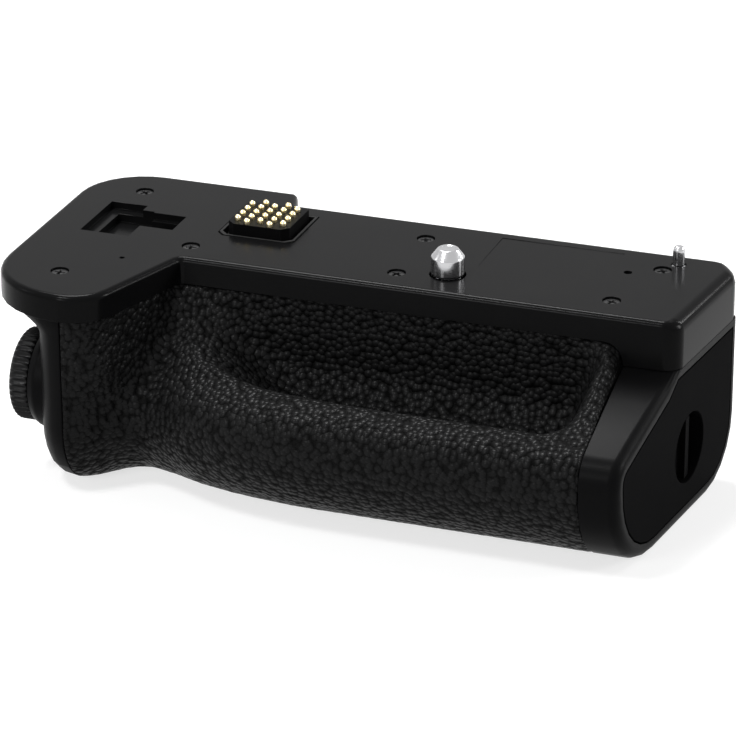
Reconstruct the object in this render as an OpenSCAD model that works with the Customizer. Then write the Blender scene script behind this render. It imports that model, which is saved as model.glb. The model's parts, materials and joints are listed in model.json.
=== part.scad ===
// Camera battery grip, lying as under the camera: plate up, lens side towards -Y.
// The origin is the foot of the tripod screw on the mating plate.

/* [Mating plate] */
// Left end of the plate, from the tripod screw
plate_left = 81.3; // [80:0.1:84]
// Right end of the plate, on the tripod screw's line
plate_right = 47.9; // [47:0.1:49]
// Sideways lean of the right end, per millimetre of depth
end_lean = 0.11; // [0.1:0.005:0.13]
// Front edge of the plate beside the hand-grip bulge
plate_front = 9.1; // [8.8:0.1:9.6]
// Front edge of the hand-grip bulge
bulge_front = 34.2; // [33.4:0.1:35.4]
// Front right corner of the bulge
bulge_corner = 57.8; // [57:0.1:58.6]
// Inner corner between the bulge and the front edge
bulge_root = 49.8; // [49:0.1:50.4]
// Back edge of the right half
plate_back = 23.7; // [23.2:0.05:24.4]
// Back edge of the left half
thumb_back = 29.6; // [29:0.1:30.6]
// Place of the step in the back edge
step_x = 39.6; // [38:0.1:41]
// Thickness of the plate's top wall
plate_t = 2.2; // [1.8:0.1:2.6]
// Thickness of the plate's skirt
skirt_t = 2.8; // [2.5:0.1:2.9]
// Height of the skirt
skirt_h = 5.2; // [4.8:0.1:5.4]
// Height of the skirt at the right end
skirt_end_h = 9.4; // [9:0.1:10]
// Rounding of the plate's upper edge
edge_r = 1.2; // [0.8:0.1:1.6]
// Rounding of the upper edge at the right end
end_edge_r = 2.4; // [2:0.1:3]

/* [Body] */
// Underside of the grip, below the mating plate
base_h = 41.4; // [41:0.1:44]
// Front of the finger-grip nose
nose = 36; // [34.5:0.1:38]
// Height of the nose's upper edge, below the plate
nose_top = 18; // [17.2:0.1:19]
// Depth of the waist between the column and the nose
waist = 9.5; // [7:0.1:10]
// Radius from the nose to the underside
keel_r = 18.5; // [14:0.5:19]
// Radius from the underside to the back
heel_r = 13; // [11:0.5:13.5]
// Left face of the column, in from the plate's left end
overhang = 9.3; // [8.6:0.1:9.6]
// Width of the smooth band round the column's left edge
band_w = 8; // [7.6:0.1:8.4]
// Back wall of the right half, in from the plate's back edge
back_inset = 2.2; // [2:0.05:2.3]
// Wall of the body shells
wall = 1.8; // [1.4:0.1:2]
// Width of the smooth end frame, on the tripod screw's line
end_w = 11.2; // [10.4:0.1:11.9]
// Rounding of the end frame's outer ridge
ridge_r = 2; // [1.6:0.1:2.6]

/* [Finger trough] */
// Front rim of the finger trough
rim = 27.3; // [26.5:0.1:28]
// Depth of the rim below the plate
rim_h = 15.2; // [14.6:0.1:15.8]
// Depth of the trough's floor below the plate
trough_h = 24; // [21:0.1:25]
// Leather between the trough's right end and the end frame
trough_end = 2.2; // [1.7:0.1:3.2]

/* [Leather] */
// Thickness of the leather covering
leather_t = 1; // [0.8:0.1:1.2]
// Leather face behind the plate's edge
lip = 0.5; // [0.3:0.1:0.8]

/* [Tripod screw] */
// Radius of the quarter-inch screw
screw_r = 3.175; // [3.1:0.025:3.25]
// Height of the screw above the plate
screw_h = 5.2; // [4.5:0.1:6]
// Teeth of the screw's gear
gear_teeth = 16; // [15:1:16]
// Teeth of the thumbwheel
wheel_teeth = 30; // [28:1:31]
// Tooth size of the gears
gear_module = 0.6; // [0.58:0.01:0.61]
// Thickness of the thumbwheel
wheel_t = 2.6; // [2:0.1:2.8]

/* [Connector] */
// Height of the contact block above the plate
block_h = 2; // [1.6:0.1:2.4]
// Length of the contact block along the plate
block_w = 12.4; // [12:0.1:13]
// Depth of the contact block
block_d = 11.8; // [11.4:0.1:12.4]
// Radius of one contact pin
contact_r = 0.6; // [0.5:0.05:0.7]
// Travel of the sprung contact pins
contact_travel = 0.8; // [0.5:0.1:0.9]

/* [Battery tray] */
// Width of the space for the battery
cell_w = 16.6; // [15:0.1:16.8]
// Gap between the bay's roof and the plate that carries the thumbwheel
bay_gap = 0.7; // [0.3:0.1:1.5]
// Length of the space for the battery
cell_l = 46; // [42:0.5:47]
// Wall of the tray
tray_t = 1.2; // [1:0.1:1.3]
// Inset of the tray's end cap from the end profile
cap_inset = 3; // [2.6:0.1:3.4]
// Radius of the recess round the latch knob
knob_well_r = 6.8; // [6:0.1:7.2]

/* [Controls] */
// Radius of the knurled control dial
dial_r = 8.8; // [8.2:0.1:9]
// Radius of the collar under the dial
collar_r = 9.7; // [9.2:0.1:10]
// Travel of the shutter button
shutter_travel = 1.2; // [0.8:0.1:1.4]
// Radius of the rear dial
rear_dial_r = 6.5; // [6:0.1:7]
// Radius of the rear buttons
button_r = 3; // [2.6:0.1:3.4]
// Travel of the rear buttons
button_travel = 0.7; // [0.5:0.1:0.9]

/* [Fits] */
// Gap between fixed shells
seam = 0.06; // [0.04:0.01:0.1]
// Gap round pieces that slide
slide_gap = 0.3; // [0.2:0.05:0.4]
// Running gap of shafts, on the radius
run_gap = 0.05; // [0.02:0.01:0.08]

/* [Hidden] */
$fn = 48;

plastic = [0.13, 0.13, 0.135];
satin = [0.2, 0.2, 0.205];
hide = [0.07, 0.07, 0.07];
gold = [0.83, 0.66, 0.3];
steel = [0.76, 0.77, 0.78];
brass = [0.72, 0.58, 0.32];
board_green = [0.1, 0.3, 0.2];

base_z = -base_h;
body_left = plate_left - overhang;
leather_left = body_left - band_w;
skin = leather_t + seam;
shell = skin + wall;
seam_x = plate_right - end_w;
trough_right = seam_x - trough_end;
front_wall = -(plate_front - lip);
column_front = -(bulge_front - lip);

// General functions
function mix(a, b, t) = a + (b - a) * t;
function clip(t) = min(1, max(0, t));
function smooth(t) = let (c = clip(t)) c * c * (3 - 2 * c);
function unit(v) = v / norm(v);
function sorted(v) =
    len(v) < 2 ? v :
    let (m = v[floor(len(v) / 2)])
    concat(sorted([for (x = v) if (x < m) x]), [m], sorted([for (x = v) if (x > m) x]));
function at(list, i) = list[min(len(list) - 1, max(0, i))];

// Smooth curve through [place, value] keys: cubic pieces with the slope of the neighbouring keys
function key_slope(k, i) =
    i == 0 || i == len(k) - 1 ? 0 : (k[i + 1][1] - k[i - 1][1]) / (k[i + 1][0] - k[i - 1][0]);
function hermite(a, b, sa, sb, t) =
    let (t2 = t * t, t3 = t2 * t)
    (2 * t3 - 3 * t2 + 1) * a + (t3 - 2 * t2 + t) * sa + (3 * t2 - 2 * t3) * b + (t3 - t2) * sb;
function curve(x, k, i = 0) =
    x <= k[0][0] ? k[0][1] :
    i >= len(k) - 1 ? k[i][1] :
    x > k[i + 1][0] ? curve(x, k, i + 1) :
    let (w = k[i + 1][0] - k[i][0])
    hermite(k[i][1], k[i + 1][1], key_slope(k, i) * w, key_slope(k, i + 1) * w, (x - k[i][0]) / w);

// Round corner at b with n + 1 points, its reach kept to a share of the two legs
function corner(a, b, c, r, n, share = 0.45) =
    let (u = unit(a - b), v = unit(c - b))
    let (half = acos(max(-1, min(1, u * v))) / 2)
    let (reach = max(0.2, min(r / tan(min(half, 89.9)), share * min(norm(a - b), norm(c - b)))))
    let (p = b + u * reach, q = b + v * reach, w = sin(half))
    [for (i = [0:n])
        let (s = i / n, f = (1 - s) * (1 - s), g = 2 * s * (1 - s) * w, h = s * s)
        (f * p + g * b + h * q) / (f + g + h)];

// Closed outline from [point, radius, arc pieces, share of the legs]; a radius of 0 keeps the point
function outline(list) =
    let (n = len(list))
    [for (i = [0:n - 1])
        let (a = list[(i + n - 1) % n][0], b = list[i][0], c = list[(i + 1) % n][0])
        for (p = list[i][1] == 0 ? [b] : corner(a, b, c, list[i][1], list[i][2], list[i][3])) p];

// Inward normal of a closed counter-clockwise outline at point i
function inward(path, i) =
    let (n = len(path), d = unit(path[(i + 1) % n] - path[(i + n - 1) % n]))
    [-d[1], d[0]];

// Triangles between two sides of a flat ring, i and j walking along the way
function zip(ring, way, turn, i, j) =
    j == i + 1 ? [] :
    let (left = i + 1 == turn, right = j == turn)
    right || !left && ring[i + 1] * way < ring[j - 1] * way ?
        concat([[i, i + 1, j]], zip(ring, way, turn, i + 1, j)) :
        concat([[i, j - 1, j]], zip(ring, way, turn, i, j - 1));

// Solid through closed rings of equal length, flat at both ends; each ring goes out along the way
// up to the turn and then back
module loft(rings, way, turn) {
    n = len(rings[0]);
    m = len(rings);
    points = [for (ring = rings) for (p = ring) p];
    sides = [for (k = [0:m - 2]) for (i = [0:n - 1])
        let (a = k * n + i, b = k * n + (i + 1) % n)
        for (f = [[a, a + n, b + n], [a, b + n, b]]) f];
    first = zip(rings[0], way, turn, 0, n - 1);
    top = (m - 1) * n;
    last = [for (f = zip(rings[m - 1], way, turn, 0, n - 1)) [f[2] + top, f[1] + top, f[0] + top]];
    polyhedron(points, concat(sides, first, last), convexity = 8);
}

// Solid between two grids of equal size, closed round the rim
module sheet(outer, inner) {
    rows = len(outer);
    cols = len(outer[0]);
    n = rows * cols;
    points = concat([for (r = outer) for (p = r) p], [for (r = inner) for (p = r) p]);
    faces = [for (i = [0:rows - 2]) for (j = [0:cols - 2])
        let (a = i * cols + j, b = a + 1, c = a + cols, d = c + 1)
        for (f = [[a, c, d], [a, d, b], [n + a, n + d, n + c], [n + a, n + b, n + d]]) f];
    rim_i = [for (i = [0:rows - 2])
        let (a = i * cols, c = a + cols, b = a + cols - 1, d = c + cols - 1)
        for (f = [[a, n + a, n + c], [a, n + c, c], [b, d, n + d], [b, n + d, n + b]]) f];
    rim_j = [for (j = [0:cols - 2])
        let (a = j, b = j + 1, c = (rows - 1) * cols + j, d = c + 1)
        for (f = [[a, b, n + b], [a, n + b, n + a], [c, n + c, n + d], [c, n + d, d]]) f];
    polyhedron(points, concat(faces, rim_i, rim_j), convexity = 10);
}

// Cylinder along X from x to x + h
module along_x(x, y, z, r, h) {
    translate([x, y, z]) rotate([0, 90, 0]) cylinder(r = r, h = h);
}
// Cylinder along Y from y to y + h
module along_y(x, y, z, r, h) {
    translate([x, y, z]) rotate([-90, 0, 0]) cylinder(r = r, h = h);
}
// Cylinder along Z from z to z + h
module along_z(x, y, z, r, h) {
    translate([x, y, z]) cylinder(r = r, h = h);
}
// Bore right through the grip
module bore_z(x, y, r) {
    along_z(x, y, base_z - 10, r, base_h + 20);
}
// Box from its lowest and highest corners
module block(low, high) {
    translate(low) cube(high - low);
}
// Section in Y and Z, drawn from x to x + h
module extrude_x(x, h) {
    translate([x, 0, 0]) rotate([90, 0, 90]) linear_extrude(h) children();
}

// Mating plate
left_r = 17;
bulge_r = 8;
root_r = 1.2;
end_r = 3.6;
step_w = 1.15;
function end_x(y) = plate_right + end_lean * y;
function skirt_at(x) =
    let (reach = seam_x - skirt_curve_x, t = clip((x - skirt_curve_x) / reach))
    skirt_h + (skirt_end_h - skirt_h) * (1 - sqrt(1 - t * t));
skirt_curve_x = seam_x - 3.7;
skirt_steps = [0, 0.3, 0.55, 0.75, 0.9, 0.97, 1];
plate_turn = 9 + 7 + 3 + len(skirt_steps) + 8;
function plate_path(foot_r, top_r) = outline(concat(
    [
        [[-plate_left, -bulge_front], left_r, 8, 0.74],
        [[-bulge_corner, -bulge_front], bulge_r, 6, 0.26],
        [[-bulge_root, -plate_front], root_r, 2, 0.45]
    ],
    [for (s = skirt_steps) [[mix(skirt_curve_x, seam_x, s), -plate_front], 0]],
    [
        [[end_x(-plate_front), -plate_front], end_r, 7, 0.9],
        [[end_x(plate_back), plate_back], 5, 5, 0.45]
    ],
    [for (s = [6, 5, 4, 3, 2, 1, 0]) [[mix(skirt_curve_x, seam_x, skirt_steps[s]), plate_back], 0]],
    [
        [[-step_x + step_w, plate_back], foot_r, 3, 0.45],
        [[-step_x - step_w, thumb_back], top_r, 4, 0.45],
        [[-plate_left, thumb_back], 13, 7, 0.45]
    ]));
plate_outline = plate_path(1, 1.4);
inner_outline = plate_path(2, 3);

// Edge rounding at a point, wider where the edge faces the right end
function edge_at(i) =
    let (n = inward(plate_outline, i), p = plate_outline[i])
    mix(edge_r, end_edge_r, p[0] > seam_x ? smooth((-n[0] - 0.15) / 0.75) : 0);
function plate_ring(path, depth, drop) =
    [for (i = [0:len(path) - 1])
        let (p = path[i] + inward(path, i) * depth)
        [p[0], p[1], drop < 0 ? drop : -skirt_at(path[i][0])]];
function edge_ring(a) =
    [for (i = [0:len(plate_outline) - 1])
        let (r = edge_at(i), p = plate_outline[i] + inward(plate_outline, i) * r * (1 - cos(a)))
        [p[0], p[1], -r * (1 - sin(a))]];

screw_spots = [
    [-plate_left + 12.9, -bulge_front + 11.6], [-plate_left + 12.2, thumb_back - 9.2],
    [-bulge_root - 0.3, -plate_front + 6.2], [-9.2, -plate_front + 6.7],
    [-9.6, plate_back - 8.2], [plate_right - 15.7, -plate_front + 7.3], [plate_right - 11, plate_back - 8.2]
];
pin_spot = [plate_right - 8.9, plate_back - 4.7];
mark_spot = [plate_right - 16.7, 12.1];
panel_left = 4;
panel_right = plate_right - 19.9;
screw_head_r = 1.6;
screw_head_h = 1;
screw_sink = 0.3;
screw_shank_r = 0.9;
screw_shank_h = 2.4;

pocket_left = -plate_left + 8.3;
pocket_right = -plate_left + 24.9;
pocket_front = -2.3;
pocket_back = 13.3;
pocket_neck = -plate_left + 18.2;
pocket_h = 3;
ledge_h = 1.4;
ledge_w = 2.4;

module pocket_cut() {
    r = 1;
    block([pocket_left + ledge_w, pocket_front, -pocket_h], [pocket_neck, pocket_back - ledge_w, 1]);
    block([pocket_neck - r, pocket_front + 5.6, -pocket_h], [pocket_right, pocket_back - 2.9 - r, 1]);
    block([pocket_left, pocket_front, -ledge_h], [pocket_neck - 2.5, pocket_back, 1]);
    block([pocket_neck - 3, pocket_front + 5.6, -ledge_h], [pocket_right, pocket_back - 2.9, 1]);
}

module top_case() color(satin) difference() {
    union() {
        loft([
            plate_ring(inner_outline, skirt_t, -plate_t), plate_ring(inner_outline, skirt_t, 1),
            plate_ring(plate_outline, 0, 1),
            edge_ring(0), edge_ring(30), edge_ring(60), edge_ring(90)
        ], [1, 0, 0], plate_turn);
        block([pocket_left - wall, pocket_front - wall, -pocket_h - wall],
              [pocket_right + wall, pocket_back + wall, -plate_t / 2]);
    }
    pocket_cut();
    translate([0, 0, -plate_t - 1]) linear_extrude(plate_t + 2) block_shape(groove, block_cut);
    along_z(0, 0, -plate_t - 1, screw_r + slide_gap, plate_t + 2);
    along_z(pin_spot[0], pin_spot[1], -plate_t - 1, pin_foot_r + seam, plate_t + 2);
    for (s = screw_spots) {
        along_z(s[0], s[1], -plate_t - 1, screw_shank_r + 0.1, plate_t + 2);
        along_z(s[0], s[1], -screw_sink - screw_head_h, screw_head_r + 0.15, 3);
    }
    along_z(-60, -12.8, -0.9, 0.5, 2);
    along_z(mark_spot[0], mark_spot[1], -1.2, 0.8, 2);
    block([panel_left, 6, -0.1], [panel_right, plate_back - 3, 1]);
}

// Body sections: an open path in Y and Z from under the skirt's front, down the trough, over the
// nose, under the grip and up the back
bulge_turn = atan2(bulge_front - plate_front, bulge_corner - bulge_root);
column_r = bulge_r - lip;
column_x = -bulge_corner - bulge_r * tan(bulge_turn / 2);
column_y = -bulge_front + bulge_r;
side_x = column_x + column_r * sin(bulge_turn);
side_y = column_y - column_r * cos(bulge_turn);
valley_x = side_x + (front_wall - side_y) / tan(bulge_turn);
valley_r = root_r + lip;
valley_reach = valley_r * tan(bulge_turn / 2);
valley_start = valley_x - valley_reach * cos(bulge_turn);

function wall_y(x) =
    x < column_x ? column_front :
    x < side_x ? column_y - sqrt(column_r * column_r - pow(x - column_x, 2)) :
    x < valley_start ? side_y + (x - side_x) * tan(bulge_turn) :
    x < valley_x + valley_reach ?
        front_wall - valley_r + sqrt(valley_r * valley_r - pow(valley_x + valley_reach - x, 2)) :
    front_wall;
function soft_y(x) = (wall_y(x - 3) + wall_y(x - 1.5) + wall_y(x) + wall_y(x + 1.5) + wall_y(x + 3)) / 5;
function nose_y(x) = curve(x, [
    [column_x - 2, column_front], [valley_x - 3.4, -(nose - waist)], [valley_x + 2, -(nose - 0.9 * waist)],
    [valley_x + 11, -(nose - 0.42 * waist)], [valley_x + 20.5, -(nose - 0.13 * waist)], [valley_x + 33, -nose]
]);
function nose_z(x) = -curve(x, [
    [valley_x - 8, nose_top + 4], [valley_x, nose_top + 4.8], [valley_x + 14, nose_top + 1.4],
    [valley_x + 32, nose_top]
]);
function rim_y(x) = -curve(x, [
    [column_x - 2, -column_front], [valley_x - 7, rim + 3.7], [valley_x - 4, rim - 2.8],
    [valley_x - 1.5, rim - 7.6], [valley_x + 1, rim - 9.5], [valley_x + 4.3, rim - 8.3],
    [valley_x + 16.6, rim - 3.4], [valley_x + 32, rim - 0.7], [valley_x + 49, rim]
]);
function trough(x) = smooth((x - valley_x - 1.5) / 26) * smooth((trough_right - x) / 8);
function back_y(x) = mix(thumb_back, plate_back, smooth((x + step_x + 3.4) / 6.8)) - back_inset;
slope_h = skirt_h + 3.4;

function path_key(x) =
    let (k = trough(x), w = wall_y(x), v = soft_y(x), m = rim_y(x), n = nose_y(x), b = back_y(x))
    let (top = skirt_at(x) + seam, high = x > 0 ? mix(top, rim_h, 0.25) : slope_h)
    let (low = x > 0 ? mix(top, rim_h, 0.55) : mix(slope_h, rim_h, 0.55))
    [
        [w, -top],
        [mix(mix(v, m, 0.25), w - 0.4, k), -mix(high, trough_h - 0.6, k)],
        [mix(mix(v, m, 0.55), m + 3.3, k), -mix(low, trough_h + 0.6, k)],
        [m, -rim_h],
        [n, nose_z(x)],
        [n, base_z],
        [b, base_z],
        [b, -top]
    ];
keel_room = 4.8;
keel_full = min(keel_r, base_h - nose_top - keel_room);
function keel_at(x) = mix(min(13.5, keel_full), keel_full, smooth((x - column_x) / 14));
front_cols = 26;
function section(x) =
    let (k = path_key(x))
    concat(
        [k[0]],
        corner(k[0], k[1], k[2], 9, 4), corner(k[1], k[2], k[3], 6, 4),
        corner(k[2], k[3], k[4], 3.4, 3), corner(k[3], k[4], k[5], 5.4, 4, 0.42),
        corner(k[4], k[5], k[6], keel_at(x), 7, 0.8), corner(k[5], k[6], k[7], heel_r, 5),
        [k[7]]);

stations = concat(
    [-leather_left], [for (a = [12, 26, 39, 51, 62]) column_x + column_r * sin(a)], [side_x],
    [for (t = [0.22, 0.42, 0.6, 0.78, 0.92]) mix(side_x, valley_x, t)],
    [for (d = [0.1, 0.8, 1.6, 2.8, 4.2, 6, 8.5, 12, 16, 21, 27, 33]) valley_x + d],
    [10],
    [for (d = [9, 7, 5.4, 4, 2.8, 1.6]) trough_right - d],
    [for (s = [0.1, 0.3, 0.55, 0.75, 0.9, 1]) mix(skirt_curve_x, seam_x - seam, s)]);
skin_grid = [for (x = stations) [for (p = section(x)) [x, p[0], p[1]]]];

// Inward normal of the skin at a grid point, level along the top edges and upright at the ends
function skin_normal(i, j) =
    let (rows = len(skin_grid), cols = len(skin_grid[0]))
    let (u = at(skin_grid, i + 1)[j] - at(skin_grid, i - 1)[j])
    let (v = at(skin_grid[i], j + 1) - at(skin_grid[i], j - 1))
    let (n = cross(u, v))
    unit([i == 0 || i == rows - 1 ? 0 : n[0], n[1], j == 0 || j == cols - 1 ? 0 : n[2]]);
function skin_at(d, first, last) =
    [for (i = [0:len(skin_grid) - 1]) [for (j = [first:last]) skin_grid[i][j] + skin_normal(i, j) * d]];

module front_leather() color(hide) sheet(skin_at(0, 0, front_cols), skin_at(leather_t, 0, front_cols));
module front_case() color(plastic) sheet(skin_at(skin, 0, front_cols), skin_at(shell, 0, front_cols));

keel_col = front_cols - 6;
heel_col = front_cols + 2;
last_col = len(skin_grid[0]) - 1;
// The first column is held back from the neighbouring shell by the seam
function seam_at(d, first, last) =
    [for (row = skin_at(d, first, last))
        concat([row[0] + unit(row[1] - row[0]) * seam], [for (j = [1:len(row) - 1]) row[j]])];

module bottom_case() color(plastic) difference() {
    sheet(seam_at(0, front_cols, heel_col), seam_at(shell, front_cols, heel_col));
    along_z(bush_x, bush_y, base_z - 1, bush_r + seam, shell + 2);
    for (s = base_spots) {
        along_z(s[0], s[1], base_z - 1, screw_shank_r + 0.1, shell + 2);
        along_z(s[0], s[1], base_z - 1, screw_head_r + 0.15, 1 + screw_sink + screw_head_h);
    }
}

back_right = plate_back - back_inset;
back_left = thumb_back - back_inset;
module rear_cover() color(plastic) difference() {
    sheet(seam_at(0, heel_col, last_col), seam_at(wall, heel_col, last_col));
    block([-wheel_slot, back_right - wall - 2, wheel_z - slide_gap],
          [wheel_slot, back_right + 2, wheel_z + wheel_t + slide_gap]);
    block([rear_dial_x - rear_dial_r, back_left - wall - 2, rear_dial_z - slide_gap],
          [rear_dial_x + rear_dial_r, back_left + 2, rear_dial_z + rear_dial_t + slide_gap]);
    for (x = button_xs) along_y(x, back_left - wall - 2, button_z, button_r + slide_gap / 2, wall + 4);
}

// Open path moved inward, its two ends moved level
function open_inset(path, d) =
    let (n = len(path))
    [for (i = [0:n - 1])
        let (t = unit(at(path, i + 1) - at(path, i - 1)), v = [-t[1], t[0]])
        path[i] + (i == 0 ? [1, 0] : i == n - 1 ? [-1, 0] : v) * d];
// Left end of the column with the flare up to the plate
column_edge_r = 5;
column_foot_r = 5;
flare_h = 4.4;
flare_top = -skirt_h - seam;
column_path = section(-leather_left);
column_front_line = [for (i = [0:heel_col - 1]) [column_path[i][1], column_path[i][0]]];
column_back_line = [for (i = [heel_col:last_col]) [column_path[i][1], column_path[i][0]]];
flare_steps = [0, 0.12, 0.3, 0.5, 0.75, 1];
column_levels = concat(
    [for (i = [last_col - 1:-1:heel_col + 1]) column_path[i][1]],
    [for (i = [keel_col:heel_col - 2]) column_path[i][1] - 0.01],
    [for (t = flare_steps) flare_top - flare_h * t], [base_z]);

// Left face at a height: flared out under the plate, rounded in at the underside
function column_left(z) =
    let (t = clip((flare_top - z) / flare_h), u = clip((base_z + column_foot_r - z) / column_foot_r))
    -body_left - (overhang - lip) * pow(1 - t, 1.6) + column_foot_r * (1 - sqrt(1 - u * u));
function column_ring(z) =
    let (t = clip((flare_top - z) / flare_h), x = column_left(z), right = -leather_left - seam)
    let (front = lookup(z, column_front_line), back = lookup(z, column_back_line))
    let (w = right - 0.3 - x, d = min(mix(left_r, 14, t), 0.4 * (back - front)))
    let (r = mix(12, column_edge_r, t))
    concat(
        [[right, front, z], [right, back, z]],
        [for (p = corner([right, back], [x, back], [x, front], min(r, 0.8 * w), 6)) [p[0], p[1], z]],
        [for (a = [0:15:90]) [x + w * (1 - cos(a)), front + d * (1 - sin(a)), z]]);

module shutter_housing() color(plastic) difference() {
    loft([for (z = sorted(column_levels)) column_ring(z)], [-1, 0, 0], 9);
    left_axis() {
        translate([0, 0, -20]) cylinder(r = stem_r + 0.3, h = 30);
        translate([0, 0, -collar_sink]) cylinder(r = collar_r + seam, h = 30);
    }
    block([-switch_x, dial_y - switch_w / 2, dial_z - switch_w / 2],
          [-leather_left + 1, dial_y + switch_w / 2, dial_z + switch_w / 2]);
}

// Levels of the tripod screw's drive, from the skirt down
wheel_strip = 1.6;
wheel_z = -skirt_h - wheel_strip - wheel_t;
chassis_t = 1;
chassis_w = 15.5;
chassis_z = wheel_z - 0.5 - chassis_t;
ring_t = 0.6;
ring_z = chassis_z - 0.1 - ring_t;
screw_foot = ring_z - 0.1;

// Smooth right end round the battery tray's cap
end_path = section(seam_x);
cap_top = skirt_end_h + 1.8;
cap_t = 4.4;
seal_t = 0.4;
function end_ring(a) =
    [for (p = open_inset(end_path, ridge_r * (1 - cos(a))))
        [end_x(p[0]) - ridge_r * (1 - sin(a)), p[0], p[1]]];

// Everything behind a plane parallel to the leaning end face, this far in
module behind_end(depth) {
    far = 5 * base_h;
    translate([plate_right - depth, 0, 0])
        rotate([0, 0, -atan(end_lean)])
            translate([-far, -far / 2, -far / 2]) cube(far);
}
module cap_prism(d) {
    intersection() {
        extrude_x(seam_x - end_w, 4 * end_w) polygon(open_inset(end_path, d));
        block([0, -2 * base_h, -2 * base_h], [2 * plate_right, 2 * base_h, -cap_top - d + cap_inset]);
    }
}

module end_frame() color(satin) difference() {
    loft(concat(
        [[for (p = end_path) [seam_x, p[0], p[1]]]],
        [for (a = [0, 18, 36, 54, 72, 90]) end_ring(a)]), [0, 0, -1], heel_col);
    difference() {
        cap_prism(cap_inset - slide_gap);
        behind_end(cap_t + seal_t);
    }
    block([seam_x - 5, bay_front, bay_low], [plate_right + end_w, bay_back, bay_high]);
    along_x(tongue_x - slide_gap, knob_y, knob_z, tongue_reach + slide_gap, tongue_t + 2 * slide_gap);
}

// Battery bay and tray
bay_t = 0.8;
bay_front = front_wall + shell + bay_t + seam;
bay_back = bay_front + cell_w + 2 * tray_t + 2 * slide_gap;
bay_foot = 3.4;
bay_low = base_z + cap_inset + bay_foot;
bay_high = screw_foot - bay_gap - bay_t;
cell_right = seam_x + 0.7;
cell_left = cell_right - cell_l;
tray_left = cell_left - tray_t;
bay_left = tray_left - 0.8;
tray_front = bay_front + slide_gap;
tray_back = bay_back - slide_gap;
tray_low = bay_low + slide_gap;
tray_high = bay_high - slide_gap;
terminal_y = (bay_front + bay_back) / 2;
terminal_z = (bay_low + bay_high) / 2;
terminal_w = 10;
terminal_h = 8;
terminal_pitch = 3.4;
blade_w = 1.2;
blade_h = 5;

module battery_bay() color(plastic) difference() {
    block([bay_left - bay_t, bay_front - bay_t, bay_low - bay_t],
          [seam_x - seam, bay_back + bay_t, bay_high + bay_t]);
    block([bay_left, bay_front, bay_low], [seam_x + end_w, bay_back, bay_high]);
}
module bay_contacts() color(gold) {
    block([bay_left + 0.02, terminal_y - terminal_w / 2, terminal_z - terminal_h / 2],
          [bay_left + 0.4, terminal_y + terminal_w / 2, terminal_z + terminal_h / 2]);
    for (y = [-terminal_pitch, 0, terminal_pitch])
        block([bay_left + 0.4, terminal_y + y - blade_w / 2, terminal_z - blade_h / 2],
              [cell_left - 0.1, terminal_y + y + blade_w / 2, terminal_z + blade_h / 2]);
}
module battery_tray() color(plastic) difference() {
    intersection() {
        union() {
            block([tray_left, tray_front, tray_low], [plate_right + end_w, tray_back, tray_low + tray_t]);
            block([tray_left, tray_back - tray_t, tray_low], [plate_right + end_w, tray_back, tray_high]);
            block([tray_left, tray_front, tray_low], [cell_right + tray_t, tray_front + tray_t, tray_high]);
            block([tray_left, tray_front, tray_low], [cell_left, tray_back, tray_high]);
            block([cell_right, tray_front, tray_low], [cell_right + tray_t, tray_back, tray_high]);
        }
        behind_end(cap_t);
    }
    block([tray_left - 1, terminal_y - terminal_w / 2 - 0.5, terminal_z - terminal_h / 2 - 0.5],
          [cell_left + 1, terminal_y + terminal_w / 2 + 0.5, terminal_z + terminal_h / 2 + 0.5]);
}

knob_y = -1.6;
knob_z = base_z + 14.2;
knob_x = end_x(knob_y);
well_h = 2.8;
knob_r = knob_well_r - 0.4;
shaft_r = 2;
tongue_x = seam_x + 2.4;
tongue_t = 1.8;
tongue_w = 4;
tongue_l = 5.6;
tongue_reach = norm([tongue_l, tongue_w / 2]);

module tray_cap() color(satin) difference() {
    intersection() {
        cap_prism(cap_inset);
        behind_end(0);
    }
    behind_end(cap_t);
    along_x(knob_x - well_h, knob_y, knob_z, knob_well_r, 2 * end_w);
    along_x(knob_x - 2 * end_w, knob_y, knob_z, shaft_r + run_gap, 4 * end_w);
}
module tray_seal() color(hide) difference() {
    intersection() {
        cap_prism(cap_inset + 0.3);
        behind_end(cap_t + 0.02);
    }
    cap_prism(cap_inset + 1);
    behind_end(cap_t + seal_t - 0.05);
}
module latch_knob() color(satin) {
    bar_w = 2.4;
    disc_t = 0.8;
    along_x(knob_x - well_h + 0.1, knob_y, knob_z, knob_r, disc_t);
    intersection() {
        along_x(knob_x - well_h + 0.1, knob_y, knob_z, knob_r - 0.3, 2 * well_h);
        block([knob_x - well_h + 0.1, knob_y - bar_w / 2, knob_z - knob_r],
              [knob_x - 0.5, knob_y + bar_w / 2, knob_z + knob_r]);
    }
    along_x(tongue_x - 0.2, knob_y, knob_z, shaft_r, knob_x - well_h + 0.2 - tongue_x + 0.2);
}
module latch_tongue() color(steel) difference() {
    union() {
        along_x(tongue_x, knob_y, knob_z, shaft_r + 1, tongue_t);
        block([tongue_x, knob_y - tongue_w / 2, knob_z - tongue_l],
              [tongue_x + tongue_t, knob_y + tongue_w / 2, knob_z]);
    }
    along_x(tongue_x - 1, knob_y, knob_z, shaft_r + 0.01, tongue_t + 2);
}

// Camera connector with sprung pins, in staggered columns
block_x = step_x + 0.5;
block_y = 11.5;
block_cut = 1.4;
groove = 1.6;
lip_w = 0.45;
lip_gap = 0.25;
block_foot = 5;
pin_pitch = [2.29, 2.55];
pin_counts = [4, 5, 4, 5, 4];
pin_tip = block_h + 1.1;
pin_foot = -2.6;
contact_spots = [for (c = [0:4]) for (r = [0:pin_counts[c] - 1])
    [-block_x + (c - 2) * pin_pitch[0], block_y + (r - (pin_counts[c] - 1) / 2) * pin_pitch[1]]];

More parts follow.
